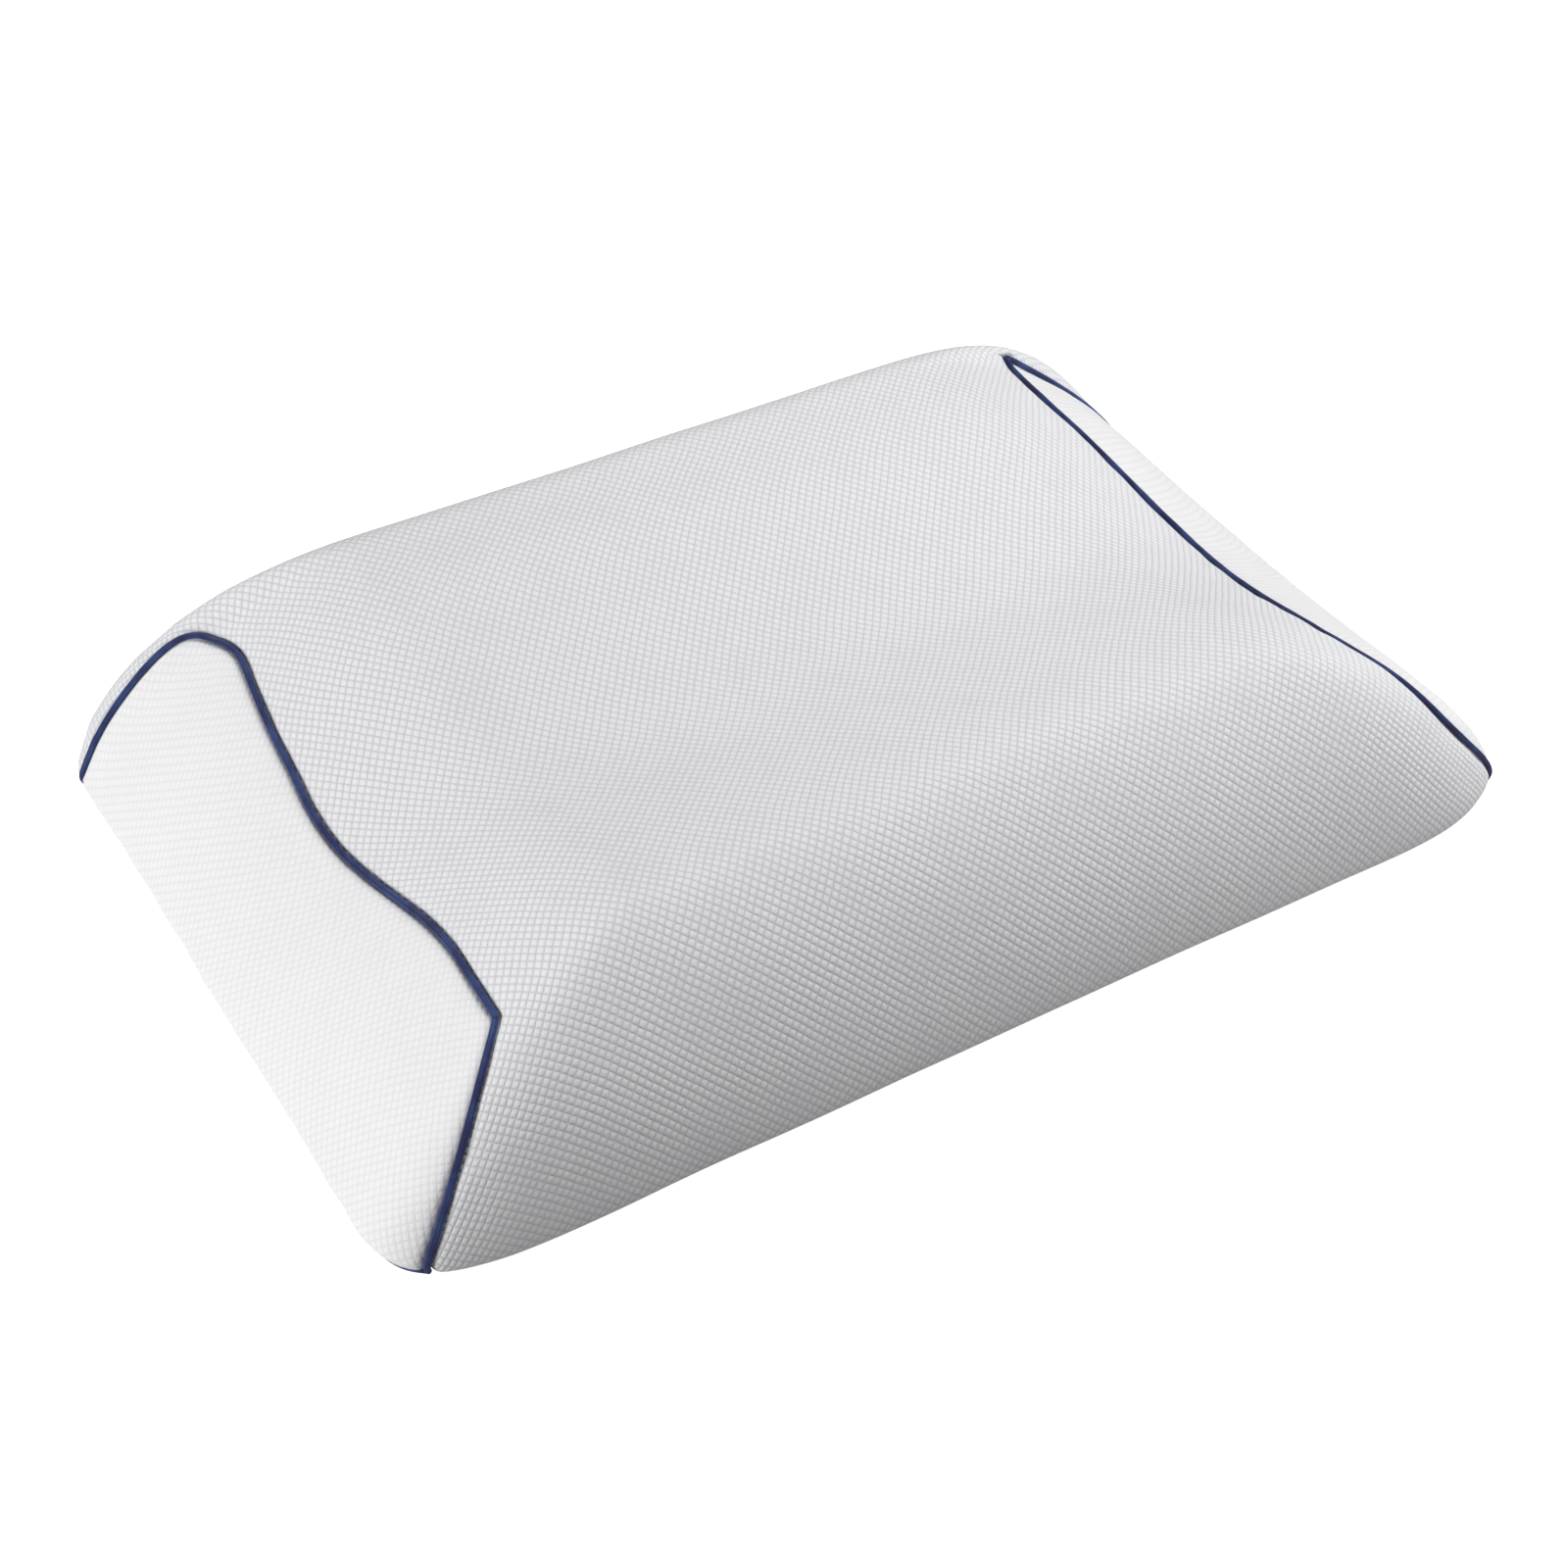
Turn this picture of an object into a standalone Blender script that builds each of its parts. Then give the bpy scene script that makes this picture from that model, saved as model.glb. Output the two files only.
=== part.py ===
"""Contoured neck pillow: a filled body in its main wrap, two end panels and their pipings.

Metres, +Z up. +X runs along the pillow and -Y is the side of the high lobe.
The origin is on the floor, under the middle of the pillow.
"""

import math

import bmesh
import bpy
import numpy as np
from mathutils import Vector

MM = 0.001

# Driving sizes of the filled shape
LENGTH = 600 * MM
WIDTH = 382 * MM
FRONT_LOBE = 103 * MM
DIP = 78 * MM
BACK_LOBE = 101 * MM
RIM_HEIGHT = 10 * MM        # height of the widest line, and radius of the bottom edge
DRAWN_IN = 3 * MM           # how far the middle of the front is drawn in between its corners
DRAWN_IN_SPAN = 250 * MM

# Where the lobes and the dip lie across the pillow
FRONT_LOBE_Y = -127 * MM
DIP_Y = 2 * MM
BACK_LOBE_Y = 122 * MM

# How the top falls to the rim: length of the fall, and its two powers.
# A higher start power keeps the top level for longer; a higher end power fills the edge out.
ROLL_LENGTH = {"end": 145 * MM, "front": 72 * MM, "back": 42 * MM}
START_POWER = {"end": 1.74, "front": 1.61, "back": 2.25}
END_POWER = {"end": 1.15, "front": 1.66, "back": 2.24}
CORNER_POWER = {"front": 4.4, "back": 4.0}      # how square the corners are, seen from above

# Top seam of each end panel: its distance from the middle, in even steps from front to back
SEAM_TOP = {
    "left": (226 * MM, 222.8 * MM, 227 * MM, 233 * MM, 230.7 * MM, 224.8 * MM),
    "right": (221 * MM, 223 * MM, 232 * MM, 230 * MM, 224.6 * MM, 225.5 * MM),
}
# Corner seams of the panels: y of the top corner, x of the foot at the rim,
# and how late the seam swings outward on its way down
CORNER_SEAMS = {
    ("left", "front"): (-131 * MM, 283 * MM, 1.45),
    ("left", "back"): (133 * MM, 290 * MM, 2.6),
    ("right", "front"): (-109 * MM, 283 * MM, 1.45),
    ("right", "back"): (160 * MM, 290 * MM, 0.9),
}
SEAM_UNDER = math.radians(52)   # how far round the bottom edge the panels reach

# Cloth and piping
CLOTH = 3.0 * MM
PIPING_RADIUS = 1.5 * MM
PIPING_SINK = 0.4 * MM
GAP = 0.3 * MM
SEAM_REACH = PIPING_RADIUS + GAP   # from the seam line to the cloth edge on either side

# Grid over the skin
ALONG = 26
ACROSS = 22
UPPER_LEVELS = 7
CROWDING = 0.55
PIPING_RESOLUTION = 2

HALF_LENGTH = LENGTH / 2
HALF_WIDTH = WIDTH / 2

# Colours, as linear red, green and blue
WHITE_KNIT = (0.80, 0.81, 0.82, 1.0)
NAVY = (0.018, 0.045, 0.20, 1.0)


def clear_scene():
    for item in list(bpy.data.objects):
        bpy.data.objects.remove(item, do_unlink=True)


def make_material(name, colour, roughness):
    material = bpy.data.materials.new(name)
    material.use_nodes = True
    shader = material.node_tree.nodes["Principled BSDF"]
    shader.inputs["Base Color"].default_value = colour
    shader.inputs["Roughness"].default_value = roughness
    shader.inputs["Metallic"].default_value = 0.0
    return material


# Shape of the filled pillow

def smooth(share):
    share = np.clip(share, 0.0, 1.0)
    return share * share * (3.0 - 2.0 * share)


def lerp(start, end, share):
    return start + (end - start) * share


def lobe_height(y):
    """Height of the contour across the pillow, before it falls to the rim."""
    front = lerp(FRONT_LOBE, DIP, smooth((y - FRONT_LOBE_Y) / (DIP_Y - FRONT_LOBE_Y)))
    back = lerp(DIP, BACK_LOBE, smooth((y - DIP_Y) / (BACK_LOBE_Y - DIP_Y)))
    return np.where(y < DIP_Y, front, back)


def roll_shares(x, y):
    """How far a plan point is into the end fall and into the front or back fall, 0 to 1."""
    end = (np.abs(x) - HALF_LENGTH + ROLL_LENGTH["end"]) / ROLL_LENGTH["end"]
    front = (-y - HALF_WIDTH + ROLL_LENGTH["front"]) / ROLL_LENGTH["front"]
    back = (y - HALF_WIDTH + ROLL_LENGTH["back"]) / ROLL_LENGTH["back"]
    return np.maximum(end, 0.0), np.maximum(np.where(y < 0, front, back), 0.0)


def corner_power(y):
    """How square the plan is, easing from the front corners to the back ones."""
    return lerp(CORNER_POWER["front"], CORNER_POWER["back"], smooth(y / WIDTH + 0.5))


def top_height(x, y):
    """Height of the top cloth over a plan point inside the rim."""
    end, side = roll_shares(x, y)
    power = corner_power(y)
    reach = (end ** power + side ** power) ** (1.0 / power)
    weight = side ** 2 / (end ** 2 + side ** 2 + 1e-9)
    side_start = np.where(y < 0, START_POWER["front"], START_POWER["back"])
    side_end = np.where(y < 0, END_POWER["front"], END_POWER["back"])
    start = lerp(START_POWER["end"], side_start, weight)
    finish = lerp(END_POWER["end"], side_end, weight)
    level = (1.0 - np.minimum(reach, 1.0) ** start) ** (1.0 / finish)
    return RIM_HEIGHT + (lobe_height(y) - RIM_HEIGHT) * level


def rim_y(x, side):
    """Y of the rim over x, at the front or the back."""
    end, _ = roll_shares(x, 0.0 * x)
    power = CORNER_POWER[side]
    share = np.maximum(1.0 - end ** power, 0.0) ** (1.0 / power)
    straight = HALF_WIDTH - ROLL_LENGTH[side]
    reach = straight + ROLL_LENGTH[side] * share
    return -reach if side == "front" else reach


def rim_x(y):
    """Distance of the rim from the middle over y, at either end."""
    _, side = roll_shares(0.0 * y, y)
    power = CORNER_POWER["front"] if y < 0 else CORNER_POWER["back"]
    share = np.maximum(1.0 - side ** power, 0.0) ** (1.0 / power)
    return HALF_LENGTH - ROLL_LENGTH["end"] * (1.0 - share)


def rim_normal(x, y):
    """Outward plan direction at a rim point."""
    end, side = roll_shares(x, y)
    face = "front" if y < 0 else "back"
    power = CORNER_POWER[face] - 1
    normal_x = math.copysign(end ** power / ROLL_LENGTH["end"], x)
    normal_y = math.copysign(side ** power / ROLL_LENGTH[face], y)
    size = math.hypot(normal_x, normal_y)
    return normal_x / size, normal_y / size


def drawn_in(x, y):
    """Y after the middle of the front is drawn in between its corners."""
    middle = 1.0 - min(abs(x) / DRAWN_IN_SPAN, 1.0) ** 2
    forward = smooth((-y - 0.5 * HALF_WIDTH) / (0.5 * HALF_WIDTH))
    return y + DRAWN_IN * middle * forward


# Grid places of the skin: (i, j) on the top, and a level down from its border.
# Level 0 is the border itself, UPPER_LEVELS is the rim and LAST_LEVEL is the floor edge.

# The lower levels go round the bottom edge, and the panels end one level above the floor.

LOWER_ANGLES = (0.0, SEAM_UNDER / 2, SEAM_UNDER, math.pi / 2)
LAST_LEVEL = UPPER_LEVELS + len(LOWER_ANGLES) - 1
SEAM_LEVEL = LAST_LEVEL - 1
STATIONS = 2 * (ALONG + ACROSS)


def border(station):
    """Place (i, j) of a station on the border of the top, walked from front left."""
    station %= STATIONS
    if station < ALONG:
        return station, 0
    if station < ALONG + ACROSS:
        return ALONG, station - ALONG
    if station < 2 * ALONG + ACROSS:
        return 2 * ALONG + ACROSS - station, ACROSS
    return 0, STATIONS - station


def crowded(count):
    """Shares from -1 to 1 that lie closer together near both ends."""
    even = np.linspace(-1.0, 1.0, count + 1)
    return lerp(even, np.sin(even * math.pi / 2), CROWDING)


ALONG_SHARES = crowded(ALONG)
ACROSS_SHARES = (crowded(ACROSS) + 1.0) / 2.0


def through(heights, share):
    """Smooth curve through evenly spaced values."""
    place = min(share, 0.999999) * (len(heights) - 1)
    step = int(place)
    t = place - step
    before = heights[max(step - 1, 0)]
    start, end = heights[step], heights[step + 1]
    after = heights[min(step + 2, len(heights) - 1)]
    slope_start, slope_end = (end - before) / 2, (after - start) / 2
    curve = (2 * t ** 3 - 3 * t ** 2 + 1) * start + (3 * t ** 2 - 2 * t ** 3) * end
    return curve + (t ** 3 - 2 * t ** 2 + t) * slope_start + (t ** 3 - t ** 2) * slope_end


def seam_plan(end, share):
    """Plan point of an end panel's top seam at a share of the way to the back."""
    x = through(SEAM_TOP[end], share)
    y = lerp(CORNER_SEAMS[end, "front"][0], CORNER_SEAMS[end, "back"][0], share)
    return (-x if end == "left" else x), y


def top_plan(i, j):
    left_x, left_y = seam_plan("left", ACROSS_SHARES[j])
    right_x, right_y = seam_plan("right", ACROSS_SHARES[j])
    share = (ALONG_SHARES[i] + 1.0) / 2.0
    return lerp(left_x, right_x, share), lerp(left_y, right_y, share)


def rim_plan(i, j):
    """Plan point on the rim that belongs to a place on the top's border."""
    if j in (0, ACROSS):
        side = "front" if j == 0 else "back"
        left_foot, right_foot = (CORNER_SEAMS[end, side][1] for end in ("left", "right"))
        x = lerp(-left_foot, right_foot, (ALONG_SHARES[i] + 1.0) / 2.0)
        return x, float(rim_y(x, side))
    end = "left" if i == 0 else "right"
    front_y, back_y = (float(rim_y(CORNER_SEAMS[end, side][1], side)) for side in ("front", "back"))
    y = lerp(front_y, back_y, ACROSS_SHARES[j])
    return math.copysign(float(rim_x(y)), i - 1), y


def sweep(i, j):
    """How late the skin below a border place swings outward along the pillow."""
    share = (ALONG_SHARES[i] + 1.0) / 2.0
    front = lerp(CORNER_SEAMS["left", "front"][2], CORNER_SEAMS["right", "front"][2], share)
    back = lerp(CORNER_SEAMS["left", "back"][2], CORNER_SEAMS["right", "back"][2], share)
    return lerp(front, back, ACROSS_SHARES[j])


def skin_point(i, j, level):
    """Point of the outer skin at a grid place and a level below the top's border."""
    x, y = top_plan(i, j)
    if level == 0:
        return Vector((x, drawn_in(x, y), float(top_height(x, y))))
    edge_x, edge_y = rim_plan(i, j)
    if level < UPPER_LEVELS:
        across = math.sin(level / UPPER_LEVELS * math.pi / 2)
        along = across ** sweep(i, j)
        x = lerp(x, edge_x, along)
        y = lerp(y, edge_y, across)
        return Vector((x, drawn_in(x, y), float(top_height(x, y))))
    angle = LOWER_ANGLES[level - UPPER_LEVELS]
    normal_x, normal_y = rim_normal(edge_x, edge_y)
    inset = RIM_HEIGHT * (1.0 - math.cos(angle))
    x = edge_x - normal_x * inset
    y = edge_y - normal_y * inset
    return Vector((x, drawn_in(x, y), RIM_HEIGHT * (1.0 - math.sin(angle))))


def band_quads(first, last, top_level, bottom_level):
    """Faces of the band below the top's border, between two stations and two levels."""
    for station in range(first, last):
        here, there = border(station), border(station + 1)
        for level in range(top_level, bottom_level):
            yield (*here, level), (*there, level), (*there, level + 1), (*here, level + 1)


def top_quads():
    for i in range(ALONG):
        for j in range(ACROSS):
            yield (i, j, 0), (i + 1, j, 0), (i + 1, j + 1, 0), (i, j + 1, 0)


END_STATIONS = {
    "right": (ALONG, ALONG + ACROSS),
    "left": (2 * ALONG + ACROSS, STATIONS),
}


def panel_quads(end):
    return band_quads(*END_STATIONS[end], 0, SEAM_LEVEL)


def wrap_quads():
    """Faces of the skin that the main wrap covers, without the floor face."""
    yield from top_quads()
    yield from band_quads(0, ALONG, 0, LAST_LEVEL)
    yield from band_quads(ALONG + ACROSS, 2 * ALONG + ACROSS, 0, LAST_LEVEL)
    for end in END_STATIONS:
        yield from band_quads(*END_STATIONS[end], SEAM_LEVEL, LAST_LEVEL)


def floor_ring():
    return [(*border(station), LAST_LEVEL) for station in range(STATIONS)]


def seam_loop(end):
    """Places along the closed seam of an end panel."""
    first, last = END_STATIONS[end]
    top = [(*border(station), 0) for station in range(first, last)]
    down = [(*border(last), level) for level in range(0, SEAM_LEVEL)]
    bottom = [(*border(station), SEAM_LEVEL) for station in range(last, first, -1)]
    up = [(*border(first), level) for level in range(SEAM_LEVEL, 0, -1)]
    return top + down + bottom + up


def measure_skin():
    """Point and outward normal of every grid place, with the middle of the skin at y = 0."""
    skin = bmesh.new()
    verts = {}
    rings = list(wrap_quads()) + list(panel_quads("left")) + list(panel_quads("right"))
    for ring in rings + [floor_ring()]:
        for place in ring:
            if place not in verts:
                verts[place] = skin.verts.new(skin_point(*place))
        skin.faces.new([verts[place] for place in ring])
    bmesh.ops.recalc_face_normals(skin, faces=skin.faces)
    skin.normal_update()
    reach = [vert.co.y for vert in skin.verts]
    middle = Vector((0.0, (min(reach) + max(reach)) / 2, 0.0))
    points = {place: vert.co - middle for place, vert in verts.items()}
    normals = {place: vert.normal.copy() for place, vert in verts.items()}
    skin.free()
    return points, normals


POINTS, NORMALS = measure_skin()


def seam_sides(end):
    """For each place of a seam, the sideways vector that points into its end panel."""
    loop = seam_loop(end)
    middle = sum((POINTS[place] for place in loop), Vector()) / len(loop)
    sides = {}
    for before, place, after in zip(loop[-1:] + loop[:-1], loop, loop[1:] + loop[:1]):
        normal = NORMALS[place]
        first = normal.cross(POINTS[place] - POINTS[before]).normalized()
        second = normal.cross(POINTS[after] - POINTS[place]).normalized()
        side = (first + second) / (1.0 + first.dot(second))
        sides[place] = side
    inward = sum(side.dot(middle - POINTS[place]) for place, side in sides.items())
    if inward < 0:
        sides = {place: -side for place, side in sides.items()}
    return sides


SEAM_SIDES = {end: seam_sides(end) for end in END_STATIONS}


class Solid:
    """Collects faces by named places and makes one closed mesh object of them."""

    def __init__(self, name):
        self.name = name
        self.mesh = bmesh.new()
        self.verts = {}

    def face(self, corners):
        """Adds a face; each corner is a name and its point."""
        ring = []
        for key, point in corners:
            if key not in self.verts:
                self.verts[key] = self.mesh.verts.new(point)
            ring.append(self.verts[key])
        self.mesh.faces.new(ring)

    def finish(self, material):
        bmesh.ops.recalc_face_normals(self.mesh, faces=self.mesh.faces)
        data = bpy.data.meshes.new(self.name)
        self.mesh.to_mesh(data)
        self.mesh.free()
        data.materials.append(material)
        data.shade_smooth()
        data.set_sharp_from_angle(angle=math.radians(40))
        item = bpy.data.objects.new(self.name, data)
        bpy.context.collection.objects.link(item)
        return item


def beside(end, place, depth, toward_panel):
    """Point beside a seam, on the panel's or the wrap's side and a depth under the skin."""
    reach = SEAM_REACH if toward_panel else -SEAM_REACH
    point = POINTS[place] + SEAM_SIDES[end][place] * reach
    return (end, place, depth, toward_panel), point - NORMALS[place] * depth


def under(end, place, depth):
    """Point a depth under the skin, moved off the seam into the panel where it lies on it."""
    if place in SEAM_SIDES[end]:
        return beside(end, place, depth, True)
    return (end, place, depth), POINTS[place] - NORMALS[place] * depth


def wrap_corner(place):
    """Point of the main wrap, held back from the seams."""
    for end, sides in SEAM_SIDES.items():
        if place in sides:
            return beside(end, place, 0.0, False)
    return place, POINTS[place]


def build_body(material):
    """Filled body with its main wrap, and a shallow recess for the panel at each end."""
    body = Solid("pillow_body")
    for ring in wrap_quads():
        body.face([wrap_corner(place) for place in ring])
    body.face([wrap_corner(place) for place in floor_ring()])
    recess = CLOTH + GAP
    for end in END_STATIONS:
        loop = seam_loop(end)
        for here, there in zip(loop, loop[1:] + loop[:1]):
            lip = [beside(end, place, 0.0, False) for place in (here, there)]
            wall = [beside(end, place, recess, False) for place in (there, here)]
            body.face(lip + wall)
            ledge = [beside(end, place, recess, True) for place in (here, there)]
            body.face(wall + ledge)
        for ring in panel_quads(end):
            body.face([under(end, place, recess) for place in ring])
    return body.finish(material)


def build_panel(end, material):
    """Curved cloth panel that lies flush in its recess."""
    panel = Solid("end_panel_" + end)
    for ring in panel_quads(end):
        panel.face([under(end, place, 0.0) for place in ring])
        panel.face([under(end, place, CLOTH) for place in ring])
    loop = seam_loop(end)
    for here, there in zip(loop, loop[1:] + loop[:1]):
        outer = [beside(end, place, 0.0, True) for place in (here, there)]
        inner = [beside(end, place, CLOTH, True) for place in (there, here)]
        panel.face(outer + inner)
    return panel.finish(material)


def build_piping(end, material):
    """Round cord sewn into the seam all round an end panel."""
    name = "piping_" + end
    curve = bpy.data.curves.new(name, "CURVE")
    curve.dimensions = "3D"
    curve.bevel_depth = PIPING_RADIUS
    curve.bevel_resolution = PIPING_RESOLUTION
    loop = seam_loop(end)
    spline = curve.splines.new("POLY")
    spline.points.add(len(loop) - 1)
    for knot, place in zip(spline.points, loop):
        knot.co = (*(POINTS[place] - NORMALS[place] * PIPING_SINK), 1.0)
    spline.use_cyclic_u = True
    curve.materials.append(material)
    item = bpy.data.objects.new(name, curve)
    bpy.context.collection.objects.link(item)
    return item


def main():
    clear_scene()
    knit = make_material("white_knit", WHITE_KNIT, 0.85)
    navy = make_material("navy_piping", NAVY, 0.6)
    build_body(knit)
    for end in END_STATIONS:
        build_panel(end, knit)
        build_piping(end, navy)


main()
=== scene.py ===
"""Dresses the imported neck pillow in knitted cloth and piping, and sets its camera and lights.

Metres, +Z up. +X runs along the pillow and -Y is the side of the high lobe.
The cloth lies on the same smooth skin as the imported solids, in a finer grid.
"""

import math

import bpy
import numpy as np
from mathutils import Matrix, Vector, noise


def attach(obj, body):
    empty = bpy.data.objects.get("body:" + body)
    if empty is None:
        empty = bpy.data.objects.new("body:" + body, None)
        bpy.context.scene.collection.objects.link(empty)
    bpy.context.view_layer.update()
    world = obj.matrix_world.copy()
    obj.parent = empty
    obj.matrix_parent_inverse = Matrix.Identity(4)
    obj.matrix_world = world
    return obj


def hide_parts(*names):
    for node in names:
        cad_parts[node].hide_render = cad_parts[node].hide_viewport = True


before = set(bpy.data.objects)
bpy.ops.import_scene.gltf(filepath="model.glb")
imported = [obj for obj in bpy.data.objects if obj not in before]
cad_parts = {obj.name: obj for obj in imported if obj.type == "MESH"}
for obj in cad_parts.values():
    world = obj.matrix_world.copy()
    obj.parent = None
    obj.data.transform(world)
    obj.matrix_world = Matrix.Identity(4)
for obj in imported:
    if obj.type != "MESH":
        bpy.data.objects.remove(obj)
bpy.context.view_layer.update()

MM = 0.001

# Sizes of the filled shape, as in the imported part
HALF_LENGTH = 300 * MM
HALF_WIDTH = 191 * MM
FRONT_LOBE = 103 * MM
DIP = 78 * MM
BACK_LOBE = 101 * MM
RIM_HEIGHT = 10 * MM
DRAWN_IN = 3 * MM
DRAWN_IN_SPAN = 250 * MM
FRONT_LOBE_Y = -127 * MM
DIP_Y = 2 * MM
BACK_LOBE_Y = 122 * MM
ROLL_LENGTH = {"end": 145 * MM, "front": 72 * MM, "back": 42 * MM}
START_POWER = {"end": 1.74, "front": 1.61, "back": 2.25}
END_POWER = {"end": 1.15, "front": 1.66, "back": 2.24}
CORNER_POWER = {
    ("left", "front"): 4.6,
    ("left", "back"): 5.0,
    ("right", "front"): 3.8,
    ("right", "back"): 4.0,
}

# Seams of the end panels. The top seam is given by its distance from the middle, in even
# steps from front to back. A corner seam is given by y of its top and of its foot on the
# rim, and by two powers: how slowly it leaves the top along y, and how early along x.
SEAM_TOP = {
    "left": np.array([
        225.8, 224.6, 222.8, 223.0, 225.5, 229.0,
        232.2, 233.2, 231.8, 230.7, 228.3, 225.2,
    ]) * MM,
    "right": np.array([
        221.6, 219.9, 222.2, 226.7, 231.2, 233.2,
        231.6, 228.3, 223.9, 219.8, 221.2, 224.3,
    ]) * MM,
}
CORNER_SEAMS = {
    ("left", "front"): (-131.3 * MM, -178.4 * MM, 1.97, 1.46),
    ("left", "back"): (131.6 * MM, 166.2 * MM, 1.06, 0.31),
    ("right", "front"): (-108.2 * MM, -170.2 * MM, 2.26, 0.65),
    ("right", "back"): (158.2 * MM, 149.7 * MM, 1.56, 1.10),
}
SEAM_UNDER = math.radians(52)  # how far round the rim the lower seam runs
MIDDLE_SHIFT = -0.57 * MM      # brings the middle of the skin to y = 0

# Steps of the cloth grid: wide in the open, narrow beside a seam
STEP = 2.7 * MM
SEAM_STEP = 0.7 * MM
STEP_GROWTH = 1.3
UNDER_STEPS = 4                # rows from the panel's lower seam to the floor
CORNER_POINTS = 400            # points that draw the rim round one corner
DENSE_LEVELS = 500             # places at which the length of the way down is measured

# Seams and piping
PIPING_RADIUS = 1.5 * MM
PIPING_SINK = 0.5 * MM
GUTTER_DEPTH = 3.0 * MM
GUTTER_REACH = 2.4 * MM
PIPING_SIDES = 12
PIPING_STEP = 1.5 * MM
PANEL_CLOTH = 1.6 * MM
BEHIND_PANEL = 7.0 * MM

# Relief of the cloth: height and width of its bumps
SWELL = (0.7 * MM, 75 * MM)
PUCKER = (0.55 * MM, 13 * MM)
FLAT_BESIDE_SEAM = 3 * MM

ENDS = ("left", "right")
CORNERS_ROUND = (("left", "front"), ("right", "front"), ("right", "back"), ("left", "back"))


# Shape of the filled pillow

def smooth(share):
    share = np.clip(share, 0.0, 1.0)
    return share * share * (3.0 - 2.0 * share)


def lerp(start, end, share):
    return start + (end - start) * share


def lobe_height(y):
    """Height of the contour across the pillow, before it falls to the rim."""
    front = lerp(FRONT_LOBE, DIP, smooth((y - FRONT_LOBE_Y) / (DIP_Y - FRONT_LOBE_Y)))
    back = lerp(DIP, BACK_LOBE, smooth((y - DIP_Y) / (BACK_LOBE_Y - DIP_Y)))
    return np.where(y < DIP_Y, front, back)


def by_side(values, y):
    return np.where(y < 0, values["front"], values["back"])


def roll_shares(x, y):
    """How far a plan point is into the end fall and into the front or back fall, 0 to 1."""
    side_length = by_side(ROLL_LENGTH, y)
    end = (np.abs(x) - HALF_LENGTH + ROLL_LENGTH["end"]) / ROLL_LENGTH["end"]
    side = (np.abs(y) - HALF_WIDTH + side_length) / side_length
    return np.maximum(end, 0.0), np.maximum(side, 0.0)


def corner_power(x, y):
    """How square the plan is in the corner that a point is nearest to."""
    front = np.where(x < 0, CORNER_POWER["left", "front"], CORNER_POWER["right", "front"])
    back = np.where(x < 0, CORNER_POWER["left", "back"], CORNER_POWER["right", "back"])
    return np.where(y < 0, front, back)


def top_height(x, y):
    """Height of the top cloth over a plan point inside the rim."""
    end, side = roll_shares(x, y)
    power = corner_power(x, y)
    reach = (end ** power + side ** power) ** (1.0 / power)
    weight = side ** 2 / (end ** 2 + side ** 2 + 1e-9)
    start = lerp(START_POWER["end"], by_side(START_POWER, y), weight)
    finish = lerp(END_POWER["end"], by_side(END_POWER, y), weight)
    level = (1.0 - np.minimum(reach, 1.0) ** start) ** (1.0 / finish)
    return RIM_HEIGHT + (lobe_height(y) - RIM_HEIGHT) * level


def rim_corner(end, side):
    """Plan points of the rim round one corner, from its end towards its front or back."""
    angle = np.linspace(0.0, math.pi / 2, CORNER_POINTS)
    power = 2.0 / CORNER_POWER[end, side]
    x = HALF_LENGTH - ROLL_LENGTH["end"] * (1.0 - np.cos(angle) ** power)
    y = HALF_WIDTH - ROLL_LENGTH[side] * (1.0 - np.sin(angle) ** power)
    return np.column_stack([-x if end == "left" else x, -y if side == "front" else y])


def rim_walk():
    """The whole rim from the left end's middle through the front, with its running length."""
    parts = [rim_corner("left", "front"), rim_corner("right", "front")[::-1],
             rim_corner("right", "back"), rim_corner("left", "back")[::-1]]
    line = np.vstack(parts + [parts[0]])
    length = np.concatenate([[0.0], np.cumsum(np.linalg.norm(np.diff(line, axis=0), axis=1))])
    return line, length


RIM_LINE, RIM_LENGTH = rim_walk()


def foot_place(end, side):
    """Running length along the rim at the foot of a corner seam."""
    y = CORNER_SEAMS[end, side][1]
    first = CORNERS_ROUND.index((end, side)) * CORNER_POINTS
    part = slice(first, first + CORNER_POINTS)
    heights, lengths = RIM_LINE[part, 1], RIM_LENGTH[part]
    if heights[0] > heights[-1]:
        heights, lengths = heights[::-1], lengths[::-1]
    return float(np.interp(y, heights, lengths))


def rim_between(first, last, shares):
    """Plan points of the rim from one foot to another, evenly spaced by the shares."""
    whole = RIM_LENGTH[len(CORNERS_ROUND) * CORNER_POINTS]
    start, stop = foot_place(*first), foot_place(*last)
    stop += whole if stop < start else 0.0
    places = lerp(start, stop, shares) % whole
    return tuple(np.interp(places, RIM_LENGTH, RIM_LINE[:, axis]) for axis in (0, 1))


def rim_normal(x, y):
    """Outward plan direction at rim points."""
    end, side = roll_shares(x, y)
    power = corner_power(x, y) - 1.0
    normal_x = np.sign(x) * end ** power / ROLL_LENGTH["end"]
    normal_y = np.sign(y) * side ** power / by_side(ROLL_LENGTH, y)
    size = np.hypot(normal_x, normal_y)
    return normal_x / size, normal_y / size


def drawn_in(x, y):
    """Y after the middle of the front is drawn in between its corners."""
    middle = 1.0 - np.minimum(np.abs(x) / DRAWN_IN_SPAN, 1.0) ** 2
    forward = smooth((-y - 0.5 * HALF_WIDTH) / (0.5 * HALF_WIDTH))
    return y + DRAWN_IN * middle * forward


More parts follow.
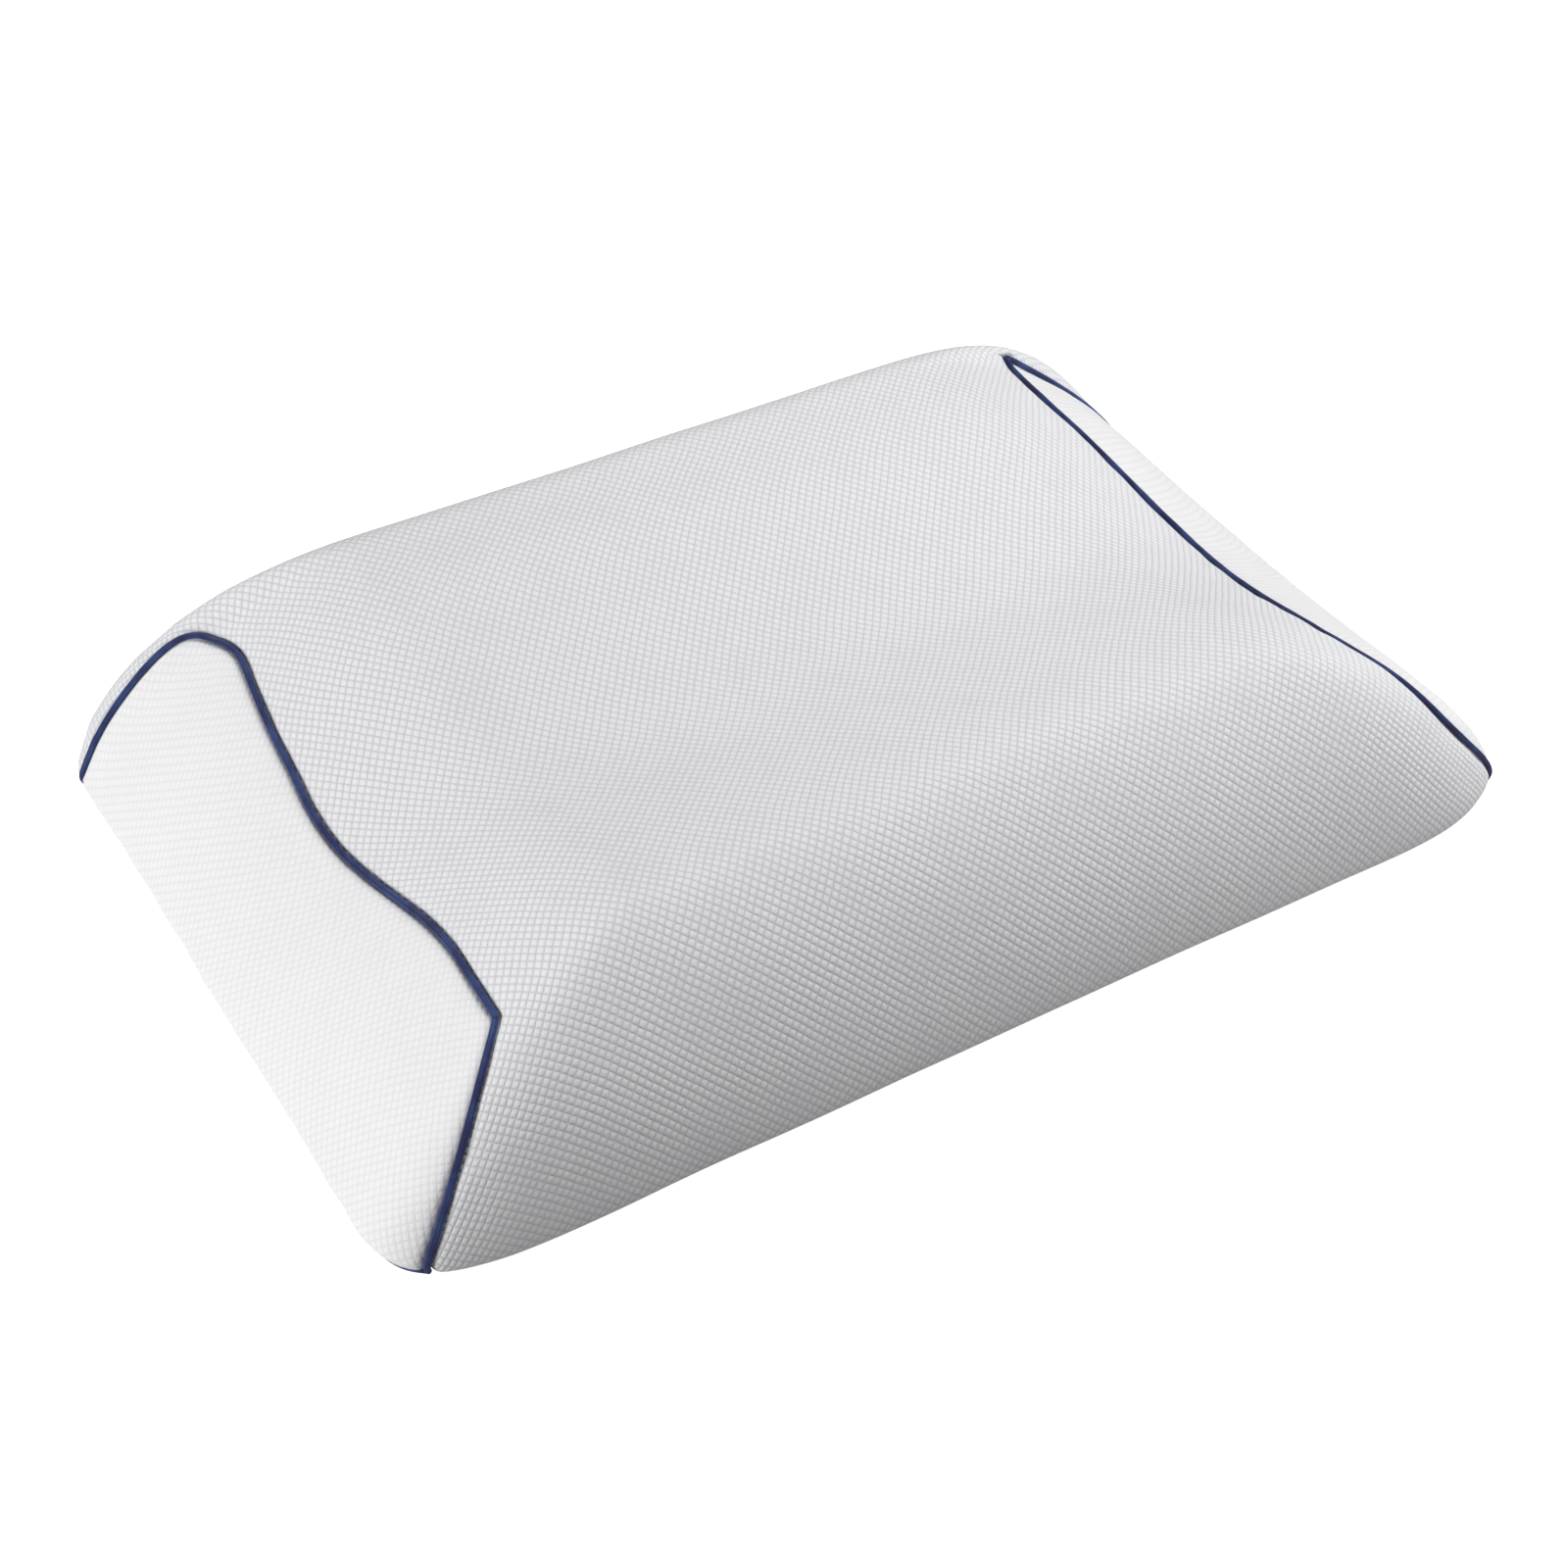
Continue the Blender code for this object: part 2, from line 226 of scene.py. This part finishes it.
def through(heights, share):
    """Smooth curve through evenly spaced values."""
    heights = np.asarray(heights)
    place = np.minimum(share, 0.999999) * (len(heights) - 1)
    step = place.astype(int)
    t = place - step
    last = len(heights) - 1
    before = heights[np.maximum(step - 1, 0)]
    start, end = heights[step], heights[step + 1]
    after = heights[np.minimum(step + 2, last)]
    slope_start, slope_end = (end - before) / 2, (after - start) / 2
    curve = (2 * t ** 3 - 3 * t ** 2 + 1) * start + (3 * t ** 2 - 2 * t ** 3) * end
    return curve + (t ** 3 - 2 * t ** 2 + t) * slope_start + (t ** 3 - t ** 2) * slope_end


def top_plan(along, across):
    """Plan point between the top seams, along from left to right and across from the front."""
    ends = []
    for end, sign in (("left", -1.0), ("right", 1.0)):
        x = sign * through(SEAM_TOP[end], across)
        y = lerp(CORNER_SEAMS[end, "front"][0], CORNER_SEAMS[end, "back"][0], across)
        ends.append((x, y))
    (left_x, left_y), (right_x, right_y) = ends
    return lerp(left_x, right_x, along), lerp(left_y, right_y, along)


def bend(along, across):
    """The two powers of the way down from a border place."""
    powers = []
    for number in (2, 3):
        front, back = (
            lerp(CORNER_SEAMS["left", side][number], CORNER_SEAMS["right", side][number], along)
            for side in ("front", "back")
        )
        powers.append(lerp(front, back, across))
    return powers


def skin_points(top, rim, powers, level):
    """Skin from the border of the top (level 0) over the rim (1) and round to the floor (2)."""
    turn = np.minimum(level, 1.0) * math.pi / 2
    x = lerp(top[0], rim[0], 1.0 - np.maximum(np.cos(turn), 0.0) ** powers[1])
    y = lerp(top[1], rim[1], np.sin(turn) ** powers[0])
    angle = np.clip(level - 1.0, 0.0, 1.0) * math.pi / 2
    normal_x, normal_y = rim_normal(*rim)
    inset = RIM_HEIGHT * (1.0 - np.cos(angle))
    z = np.where(level < 1.0, top_height(x, y), RIM_HEIGHT * (1.0 - np.sin(angle)))
    x, y = x - normal_x * inset, y - normal_y * inset
    return np.stack([x, drawn_in(x, y) + MIDDLE_SHIFT, z], axis=-1)


# Grid of the cloth: evenly spaced along the skin, closer beside the seams

def spaced(length, step=STEP, near=SEAM_STEP):
    """Shares from 0 to 1 with narrow steps at both ends and wide ones between."""
    edge = [0.0]
    width = near
    while width < step:
        edge.append(edge[-1] + width)
        width *= STEP_GROWTH
    inner = length - 2 * edge[-1]
    count = max(int(round(inner / step)), 1)
    middle = edge[-1] + np.linspace(0.0, inner, count + 1)
    places = edge[:-1] + list(middle) + [length - place for place in reversed(edge[:-1])]
    return np.array(places) / length


ALONG = spaced(455 * MM)
ACROSS = spaced(270 * MM)
DOWN = spaced(125 * MM)
UNDER = np.linspace(0.0, 1.0, UNDER_STEPS + 1)
SEAM_LEVEL = 1.0 + SEAM_UNDER / (math.pi / 2)


def evenly(top, rim, power, first, last, shares):
    """Rows of the skin between two levels, placed by distance along the cloth.

    The result has a row for each share and a column for each border place.
    """
    levels = np.linspace(first, last, DENSE_LEVELS)[:, None]
    dense = skin_points(top, rim, power, levels)
    steps = np.linalg.norm(np.diff(dense, axis=0), axis=2)
    length = np.vstack([np.zeros(steps.shape[1]), np.cumsum(steps, axis=0)])
    rows = np.empty((len(shares), dense.shape[1], 3))
    for column in range(dense.shape[1]):
        wanted = shares * length[-1, column]
        for axis in range(3):
            rows[:, column, axis] = np.interp(wanted, length[:, column], dense[:, column, axis])
    return rows


def band(top, rim, power):
    """Rows from just below the border of the top down to the floor."""
    upper = evenly(top, rim, power, 0.0, SEAM_LEVEL, DOWN)
    lower = evenly(top, rim, power, SEAM_LEVEL, 2.0, UNDER)
    return np.vstack([upper[1:], lower[1:]])


def side_band(side):
    across = np.full(len(ALONG), 0.0 if side == "front" else 1.0)
    feet = (("left", side), ("right", side))
    if side == "front":
        rim = rim_between(*feet, ALONG)
    else:
        rim = tuple(values[::-1] for values in rim_between(*feet[::-1], (1.0 - ALONG)[::-1]))
    return band(top_plan(ALONG, across), rim, bend(ALONG, across))


def end_band(end):
    along = np.full(len(ACROSS), 0.0 if end == "left" else 1.0)
    feet = ((end, "front"), (end, "back"))
    if end == "right":
        rim = rim_between(*feet, ACROSS)
    else:
        rim = tuple(values[::-1] for values in rim_between(*feet[::-1], (1.0 - ACROSS)[::-1]))
    return band(top_plan(along, ACROSS), rim, bend(along, ACROSS))


def top_rows():
    along, across = np.meshgrid(ALONG, ACROSS)
    x, y = top_plan(along, across)
    return np.stack([x, drawn_in(x, y) + MIDDLE_SHIFT, top_height(x, y)], axis=-1)


class Skin:
    """All points of the skin, with the grids of point numbers that make up its parts."""

    def __init__(self):
        self.points = np.empty((0, 3))
        rows = np.vstack([side_band("front")[::-1], top_rows(), side_band("back")])
        self.wrap = self.add(rows)
        self.down = len(DOWN) - 1
        self.depth = self.down + UNDER_STEPS
        self.end = {end: self.end_grid(end) for end in ENDS}
        self.normals = self.vertex_normals()

    def add(self, points):
        """Adds a grid of points and gives the grid of their numbers."""
        first = len(self.points)
        self.points = np.vstack([self.points, points.reshape(-1, 3)])
        return np.arange(first, len(self.points)).reshape(points.shape[:2])

    def end_grid(self, end):
        """Grid below the top seam of an end, from front to back, with its edges on the wrap."""
        column = 0 if end == "left" else -1
        edge = self.wrap[:, column]
        front = edge[: self.depth + 1][::-1]
        back = edge[-self.depth - 1:]
        top = edge[self.depth: len(edge) - self.depth]
        numbers = np.empty((self.depth + 1, len(ACROSS)), int)
        numbers[1:] = self.add(end_band(end))
        numbers[0] = top
        numbers[:, 0] = front
        numbers[:, -1] = back
        return numbers

    def floor_ring(self):
        right, left = self.end["right"][-1], self.end["left"][-1]
        front, back = self.wrap[0], self.wrap[-1][::-1]
        return list(front[:-1]) + list(right[:-1]) + list(back[:-1]) + list(left[::-1][:-1])

    def seam(self, end):
        """Numbers of the points along the closed seam of an end panel."""
        grid = self.end[end][: self.down + 1]
        return (list(grid[0][:-1]) + list(grid[:, -1][:-1])
                + list(grid[-1][::-1][:-1]) + list(grid[:, 0][::-1][:-1]))

    def vertex_normals(self):
        """Outward normals, each face weighted by its area."""
        sums = np.zeros_like(self.points)
        for grid, turned in self.all_grids():
            a, b, c, d = quad_corners(grid, turned)
            p = self.points
            cross = np.cross(p[c] - p[a], p[d] - p[b])
            for corner in (a, b, c, d):
                np.add.at(sums, corner, cross)
        sizes = np.linalg.norm(sums, axis=1, keepdims=True)
        return sums / np.maximum(sizes, 1e-12)

    def all_grids(self):
        yield self.wrap, False
        yield self.end["left"], False
        yield self.end["right"], True


def quad_corners(grid, turned):
    """The four corner numbers of every quad of a grid, in outward order."""
    a, b, c, d = grid[:-1, :-1], grid[:-1, 1:], grid[1:, 1:], grid[1:, :-1]
    if turned:
        a, b, c, d = a, d, c, b
    return a.ravel(), b.ravel(), c.ravel(), d.ravel()


def quads(grid, turned=False):
    return np.stack(quad_corners(grid, turned), axis=1)


skin = Skin()


# Distance from every skin point to the nearest seam

def polyline_distance(points, line):
    """Distance from each point to a closed polyline."""
    best = np.full(len(points), np.inf)
    for start, end in zip(line, np.roll(line, -1, axis=0)):
        span = end - start
        share = np.clip((points - start) @ span / max(span @ span, 1e-18), 0.0, 1.0)
        gap = np.linalg.norm(points - start - share[:, None] * span, axis=1)
        best = np.minimum(best, gap)
    return best


def seam_distances():
    return np.min([polyline_distance(skin.points, skin.points[skin.seam(end)]) for end in ENDS], axis=0)


seam_gap = seam_distances()


# Relief of the cloth

def noise_at(points, size, seed):
    """Soft noise from about -1 to 1 with bumps of a given size."""
    shift = Vector((seed * 3.17, seed * 5.31, seed * 7.73))
    return np.array([noise.noise(Vector(point) / size + shift) for point in points]) * 1.6


def gutter(gap):
    """How deep the cloth turns down beside a seam."""
    return GUTTER_DEPTH * np.exp(-(gap / GUTTER_REACH) ** 1.5)


def relief(points, gap, seed):
    """Outward offset of the cloth: soft swells, puckers beside the seams and the gutter."""
    swells = SWELL[0] * noise_at(points, SWELL[1], seed)
    near = np.exp(-gap / PUCKER[1])
    puckers = PUCKER[0] * near * noise_at(points, PUCKER[1], seed + 1)
    return (swells + puckers) * (1.0 - np.exp(-gap / FLAT_BESIDE_SEAM)) - gutter(gap)


skin_relief = relief(skin.points, seam_gap, 4)
cloth_points = skin.points + skin.normals * skin_relief[:, None]
cloth_points[:, 2] = np.maximum(cloth_points[:, 2], np.minimum(skin.points[:, 2], 0.4 * MM))


# Places on the cloth, in metres, for the knit pattern

def running_length(points, axis, axes):
    """Distance along one direction of a grid of points, counted in the given axes only."""
    steps = np.linalg.norm(np.diff(points[..., axes], axis=axis), axis=-1)
    length = np.cumsum(steps, axis=axis)
    pad = [(0, 0), (0, 0)]
    pad[axis] = (1, 0)
    return np.pad(length, pad)


def wrap_cloth():
    """Across and along coordinates of the wrap, from the middle of the dip."""
    points = skin.points[skin.wrap]
    along = running_length(points, 1, [0, 1, 2])
    middle = len(ALONG) // 2
    along -= along[:, middle:middle + 1]
    across = running_length(points, 0, [1, 2])
    row = skin.wrap.shape[0] // 2
    across -= across[row:row + 1]
    return along, across


def panel_cloth(grid):
    points = skin.points[grid]
    along = running_length(points, 1, [0, 1, 2])
    middle = along.shape[1] // 2
    along -= along[:, middle:middle + 1]
    down = running_length(points, 0, [0, 1, 2])
    return along, down


WRAP_ALONG, WRAP_ACROSS = wrap_cloth()


def make_mesh(name, points, faces, cloth, gap):
    """Mesh object with its cloth coordinates and its distance from the seams as attributes."""
    used, numbers = np.unique(np.concatenate([np.ravel(face) for face in faces]), return_inverse=True)
    sizes = [np.full(len(face), face.shape[1]) if face.ndim == 2 else [len(face)] for face in faces]
    data = bpy.data.meshes.new(name)
    loops = np.split(numbers, np.cumsum(np.concatenate(sizes))[:-1])
    data.from_pydata(points[used].tolist(), [], [loop.tolist() for loop in loops])
    data.update()
    place = data.attributes.new("cloth", "FLOAT_VECTOR", "POINT")
    packed = np.column_stack([cloth[used], gap[used]]).astype(np.float32)
    place.data.foreach_set("vector", packed.ravel())
    data.shade_smooth()
    item = bpy.data.objects.new(name, data)
    bpy.context.collection.objects.link(item)
    return item


def build_wrap():
    """Main wrap as one closed form, with a hollow behind each end panel."""
    cloth = np.zeros((len(cloth_points), 2))
    cloth[skin.wrap.ravel(), 0] = WRAP_ALONG.ravel()
    cloth[skin.wrap.ravel(), 1] = WRAP_ACROSS.ravel()
    points = cloth_points.copy()
    faces = [quads(skin.wrap)]
    for end, turned in (("left", False), ("right", True)):
        whole = skin.end[end]
        under = whole[skin.down:]
        along, down = panel_cloth(whole)
        cloth[under.ravel(), 0] = along[skin.down:].ravel()
        cloth[under.ravel(), 1] = down[skin.down:].ravel()
        faces.append(quads(under, turned))
        inner = whole[1:skin.down, 1:-1].ravel()
        hidden = BEHIND_PANEL * (1.0 - np.exp(-seam_gap[inner] / (6 * MM)))
        points[inner] -= skin.normals[inner] * hidden[:, None]
        faces.append(quads(whole[: skin.down + 1], turned))
    faces.append(np.array(skin.floor_ring()[::-1]))
    return make_mesh("main_wrap", points, faces, cloth, seam_gap)


def build_panel(end):
    """Cloth panel let into an end, with its edge turned down into the seam."""
    grid = skin.end[end][: skin.down + 1]
    turned = end == "right"
    along, down = panel_cloth(grid)
    cloth = np.zeros((len(cloth_points), 2))
    cloth[grid.ravel()] = np.column_stack([along.ravel(), down.ravel()])
    inner = cloth_points - skin.normals * PANEL_CLOTH
    count = len(cloth_points)
    edge = skin.seam(end)
    rim = np.array([[b, a, a + count, b + count] for a, b in zip(edge, edge[1:] + edge[:1])])
    if turned:
        rim = rim[:, ::-1]
    points = np.vstack([cloth_points, inner])
    faces = [quads(grid, turned), quads(grid, not turned) + count, rim]
    return make_mesh("end_cloth_" + end, points, faces, np.vstack([cloth, cloth]), np.tile(seam_gap, 2))


def build_piping(end):
    """Covered cord along a seam, as a tube with coordinates for its twill."""
    numbers = skin.seam(end)
    line = skin.points[numbers] - skin.normals[numbers] * PIPING_SINK
    steps = np.linalg.norm(np.roll(line, -1, axis=0) - line, axis=1)
    length = np.concatenate([[0.0], np.cumsum(steps)])
    places = np.linspace(0.0, length[-1], int(length[-1] / PIPING_STEP), endpoint=False)
    closed = np.vstack([line, line[:1]])
    normals = np.vstack([skin.normals[numbers], skin.normals[numbers[:1]]])
    centre = np.column_stack([np.interp(places, length, closed[:, axis]) for axis in range(3)])
    up = np.column_stack([np.interp(places, length, normals[:, axis]) for axis in range(3)])
    for _ in range(2):
        centre = (np.roll(centre, 1, axis=0) + 2 * centre + np.roll(centre, -1, axis=0)) / 4
        up = (np.roll(up, 1, axis=0) + 2 * up + np.roll(up, -1, axis=0)) / 4
    ahead = np.roll(centre, -1, axis=0) - np.roll(centre, 1, axis=0)
    ahead /= np.linalg.norm(ahead, axis=1, keepdims=True)
    up -= ahead * np.sum(up * ahead, axis=1, keepdims=True)
    up /= np.linalg.norm(up, axis=1, keepdims=True)
    side = np.cross(ahead, up)
    angles = np.arange(PIPING_SIDES) / PIPING_SIDES * 2 * math.pi
    thick = PIPING_RADIUS * (1.0 + 0.05 * noise_at(centre, 9 * MM, 11))
    turn_up, turn_side = np.cos(angles)[None, :, None], np.sin(angles)[None, :, None]
    ring = up[:, None] * turn_up + side[:, None] * turn_side
    points = centre[:, None] + ring * thick[:, None, None]
    grid = np.arange(points.shape[0] * PIPING_SIDES).reshape(-1, PIPING_SIDES)
    grid = np.vstack([grid, grid[:1]])
    grid = np.hstack([grid, grid[:, :1]])
    around = np.tile(angles * PIPING_RADIUS, len(places))
    cloth = np.column_stack([np.repeat(places, PIPING_SIDES), around])
    flat = points.reshape(-1, 3)
    return make_mesh("piping_cord_" + end, flat, [quads(grid)], cloth, np.zeros(len(flat)))


# Materials

PEBBLE_ALONG = 4.6 * MM        # steps of the raised pebbles of the knit
PEBBLE_ACROSS = 5.4 * MM
PEBBLE_WANDER = (1.2 * MM, 12 * MM)
YARN = (0.15 * MM, 1.1 * MM)   # height and width of the roughness of the yarn
FAINT_PATCH = 30 * MM          # width of the patches with a fainter knit
TWILL = (0.12 * MM, 0.9 * MM)  # height and step of the piping's ribs
WORN_PATCH = 14 * MM           # width of the paler patches of the piping
WRAP_COLOUR = (0.78, 0.78, 0.79, 1.0)
# Painted shade: the wrap's groove colour darkens the hollows between the pebbles
WRAP_GROOVE_SHADE = (0.62, 0.62, 0.65, 1.0)
PANEL_COLOUR = (0.80, 0.795, 0.80, 1.0)
# Painted shade: the panel's groove colour darkens the hollows between its pebbles
PANEL_GROOVE_SHADE = (0.72, 0.72, 0.735, 1.0)
DARK_NAVY = (0.012, 0.02, 0.115, 1.0)
WORN_NAVY = (0.035, 0.07, 0.24, 1.0)


class Nodes:
    """Short calls for building a node tree."""

    def __init__(self, name):
        self.material = bpy.data.materials.new(name)
        self.material.use_nodes = True
        self.tree = self.material.node_tree
        self.shader = self.tree.nodes["Principled BSDF"]

    def join(self, value, socket):
        if isinstance(value, bpy.types.NodeSocket):
            self.tree.links.new(value, socket)
        else:
            socket.default_value = value

    def math(self, operation, a, b=0.0, c=0.0):
        node = self.tree.nodes.new("ShaderNodeMath")
        node.operation = operation
        for value, socket in zip((a, b, c), node.inputs):
            self.join(value, socket)
        return node.outputs[0]

    def attribute(self, name):
        node = self.tree.nodes.new("ShaderNodeAttribute")
        node.attribute_name = name
        return node.outputs["Vector"]

    def split(self, vector):
        node = self.tree.nodes.new("ShaderNodeSeparateXYZ")
        self.join(vector, node.inputs[0])
        return node.outputs[0], node.outputs[1], node.outputs[2]

    def combine(self, x, y, z=0.0):
        node = self.tree.nodes.new("ShaderNodeCombineXYZ")
        for value, socket in zip((x, y, z), node.inputs):
            self.join(value, socket)
        return node.outputs[0]

    def noise(self, vector, size, detail=2.0):
        node = self.tree.nodes.new("ShaderNodeTexNoise")
        self.join(vector, node.inputs["Vector"])
        node.inputs["Scale"].default_value = 1.0 / size
        node.inputs["Detail"].default_value = detail
        return node.outputs["Fac"]

    def place(self):
        return self.tree.nodes.new("ShaderNodeTexCoord").outputs["Object"]

    def ramp(self, value, low, high, start=0.0, end=1.0):
        node = self.tree.nodes.new("ShaderNodeMapRange")
        node.interpolation_type = "SMOOTHSTEP"
        for number, socket in zip((value, low, high, start, end), node.inputs):
            self.join(number, socket)
        return node.outputs[0]

    def mix(self, share, first, second):
        node = self.tree.nodes.new("ShaderNodeMix")
        node.data_type = "RGBA"
        self.join(share, node.inputs[0])
        self.join(first, node.inputs[6])
        self.join(second, node.inputs[7])
        return node.outputs[2]

    def bump(self, height, distance, strength=1.0, before=None):
        node = self.tree.nodes.new("ShaderNodeBump")
        node.inputs["Strength"].default_value = strength
        node.inputs["Distance"].default_value = distance
        self.join(height, node.inputs["Height"])
        if before is not None:
            self.join(before, node.inputs["Normal"])
        return node.outputs[0]


def knit_material(name, colour, groove_shade, pebble_height):
    """White double knit with raised pebbles in staggered rows, and painted shade darkening the grooves
    between them.
    """
    nodes = Nodes(name)
    u, v, _ = nodes.split(nodes.attribute("cloth"))
    place = nodes.place()
    drift = nodes.math("SUBTRACT", nodes.noise(place, PEBBLE_WANDER[1]), 0.5)
    wander = nodes.math("MULTIPLY", drift, PEBBLE_WANDER[0])
    u = nodes.math("ADD", u, wander)
    along = nodes.math("DIVIDE", u, PEBBLE_ALONG)
    across = nodes.math("DIVIDE", v, PEBBLE_ACROSS)
    waves = [
        nodes.math("ABSOLUTE", nodes.math("COSINE", nodes.math("MULTIPLY", value, math.pi)))
        for value in (nodes.math("ADD", along, across), nodes.math("SUBTRACT", along, across))
    ]
    pebble = nodes.math("MULTIPLY", *waves)
    pebble = nodes.math("POWER", pebble, 0.6)
    yarn = nodes.noise(place, YARN[1], 3.0)
    soft = nodes.noise(place, FAINT_PATCH, 2.0)
    strength = nodes.ramp(soft, 0.3, 0.7, 0.7, 1.0)
    height = nodes.math("MULTIPLY", pebble, strength)
    # Painted shade: the low grooves between the pebbles take the darker colour, following the pebble
    # height
    shade = nodes.ramp(height, 0.0, 0.75)
    nodes.join(nodes.mix(shade, groove_shade, colour), nodes.shader.inputs["Base Color"])
    nodes.shader.inputs["Roughness"].default_value = 0.85
    nodes.shader.inputs["Specular IOR Level"].default_value = 0.2
    nodes.shader.inputs["Sheen Weight"].default_value = 0.15
    nodes.shader.inputs["Sheen Roughness"].default_value = 0.5
    fine = nodes.bump(yarn, YARN[0])
    nodes.join(nodes.bump(height, pebble_height, before=fine), nodes.shader.inputs["Normal"])
    return nodes.material


def piping_material():
    """Navy twill, a little lighter where it is worn and stretched."""
    nodes = Nodes("navy_twill")
    along, around, _ = nodes.split(nodes.attribute("cloth"))
    place = nodes.place()
    diagonal = nodes.math("ADD", along, around)
    twill = nodes.math("SINE", nodes.math("MULTIPLY", diagonal, 2 * math.pi / TWILL[1]))
    patch = nodes.ramp(nodes.noise(place, WORN_PATCH, 3.0), 0.35, 0.7)
    colour = nodes.mix(patch, DARK_NAVY, WORN_NAVY)
    nodes.join(colour, nodes.shader.inputs["Base Color"])
    nodes.shader.inputs["Roughness"].default_value = 0.7
    nodes.shader.inputs["Specular IOR Level"].default_value = 0.3
    nodes.shader.inputs["Sheen Weight"].default_value = 0.1
    nodes.join(nodes.bump(twill, TWILL[0]), nodes.shader.inputs["Normal"])
    return nodes.material


wrap_knit = knit_material("wrap_knit", WRAP_COLOUR, WRAP_GROOVE_SHADE, pebble_height=0.5 * MM)
panel_knit = knit_material("panel_knit", PANEL_COLOUR, PANEL_GROOVE_SHADE, pebble_height=0.2 * MM)
navy_twill = piping_material()


def dress(item, material, node):
    item.data.materials.append(material)
    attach(item, "root")
    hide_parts(node)


wrap = build_wrap()
dress(wrap, wrap_knit, "pillow_body")

for end in ENDS:
    panel = build_panel(end)
    dress(panel, panel_knit, "end_panel_" + end)
    piping = build_piping(end)
    dress(piping, navy_twill, "piping_" + end)


# Camera at the photo's angle

CAMERA_AZIMUTH = math.radians(-32.603)
CAMERA_ELEVATION = math.radians(42.212)
CAMERA_ROLL = math.radians(1.7745)
CAMERA_DISTANCE = 1207.85 * MM
CAMERA_TARGET = Vector((-37.38 * MM, -45.29 * MM, 51.72 * MM))
CAMERA_LENS = 61.014
CAMERA_SHIFT = -2.32 / 1600


def place_camera():
    sin_a, cos_a = math.sin(CAMERA_AZIMUTH), math.cos(CAMERA_AZIMUTH)
    sin_e, cos_e = math.sin(CAMERA_ELEVATION), math.cos(CAMERA_ELEVATION)
    back = Vector((sin_a * cos_e, -cos_a * cos_e, sin_e))
    level = Vector((cos_a, sin_a, 0.0))
    raised = back.cross(level)
    sin_r, cos_r = math.sin(CAMERA_ROLL), math.cos(CAMERA_ROLL)
    right = level * cos_r + raised * sin_r
    up = raised * cos_r - level * sin_r
    data = bpy.data.cameras.new("camera")
    data.sensor_width = 36.0
    data.lens = CAMERA_LENS
    data.shift_x = CAMERA_SHIFT
    camera = bpy.data.objects.new("camera", data)
    bpy.context.collection.objects.link(camera)
    camera.matrix_world = Matrix((
        (right.x, up.x, back.x, 0.0),
        (right.y, up.y, back.y, 0.0),
        (right.z, up.z, back.z, 0.0),
        (0.0, 0.0, 0.0, 1.0),
    ))
    camera.location = CAMERA_TARGET + back * CAMERA_DISTANCE
    bpy.context.scene.camera = camera


# Floor and light

FLOOR_COLOUR = (0.4, 0.4, 0.4, 1.0)
FLOOR_GLOW = 1.0               # makes the bare floor white, without lighting the pillow
LIGHT_FAR = 1.8
LIGHT_SIZE = 1.0
LIGHTS = {                     # degrees round from -Y towards +X, degrees up, watts
    "low_left": (-90, 12, 28.0),
    "high_right": (90, 68, 19.4),
    "low_front_right": (45, 12, 9.6),
    "right": (90, 40, 8.4),
    "high_back": (180, 68, 3.3),
}
LIGHT_TARGET = Vector((0.0, 0.0, 0.05))
WORLD_LIGHT = 0.02


def build_floor():
    mesh = bpy.data.meshes.new("floor")
    half = 6.0
    mesh.from_pydata([(-half, -half, 0.0), (half, -half, 0.0), (half, half, 0.0), (-half, half, 0.0)],
                     [], [(0, 1, 2, 3)])
    floor = bpy.data.objects.new("floor", mesh)
    bpy.context.collection.objects.link(floor)
    nodes = Nodes("pale_floor")
    nodes.shader.inputs["Base Color"].default_value = FLOOR_COLOUR
    nodes.shader.inputs["Roughness"].default_value = 0.9
    nodes.shader.inputs["Emission Color"].default_value = (1.0, 1.0, 1.0, 1.0)
    seen = nodes.tree.nodes.new("ShaderNodeLightPath").outputs["Is Camera Ray"]
    nodes.join(nodes.math("MULTIPLY", seen, FLOOR_GLOW), nodes.shader.inputs["Emission Strength"])
    mesh.materials.append(nodes.material)


def area_light(name, azimuth, elevation, power):
    """Soft round light on a sphere round the pillow, aimed at its middle."""
    turn, rise = math.radians(azimuth), math.radians(elevation)
    way = Vector((math.sin(turn) * math.cos(rise), -math.cos(turn) * math.cos(rise), math.sin(rise)))
    data = bpy.data.lights.new(name, "AREA")
    data.shape = "DISK"
    data.size = LIGHT_SIZE
    data.energy = power
    light = bpy.data.objects.new(name, data)
    light.location = way * LIGHT_FAR
    light.rotation_mode = "QUATERNION"
    light.rotation_quaternion = (LIGHT_TARGET - light.location).to_track_quat("-Z", "Y")
    bpy.context.collection.objects.link(light)


def light_world(strength):
    """White backdrop for the camera, with a weaker light on everything else."""
    world = bpy.data.worlds.new("studio")
    world.use_nodes = True
    tree = world.node_tree
    background = tree.nodes["Background"]
    background.inputs["Color"].default_value = (1.0, 1.0, 1.0, 1.0)
    seen = tree.nodes.new("ShaderNodeLightPath")
    level = tree.nodes.new("ShaderNodeMapRange")
    level.inputs["To Min"].default_value = strength
    level.inputs["To Max"].default_value = 1.0
    tree.links.new(seen.outputs["Is Camera Ray"], level.inputs["Value"])
    tree.links.new(level.outputs["Result"], background.inputs["Strength"])
    bpy.context.scene.world = world


place_camera()
build_floor()
light_world(WORLD_LIGHT)
for name, (azimuth, elevation, power) in LIGHTS.items():
    area_light(name, azimuth, elevation, power)
bpy.context.scene.view_settings.view_transform = "Standard"
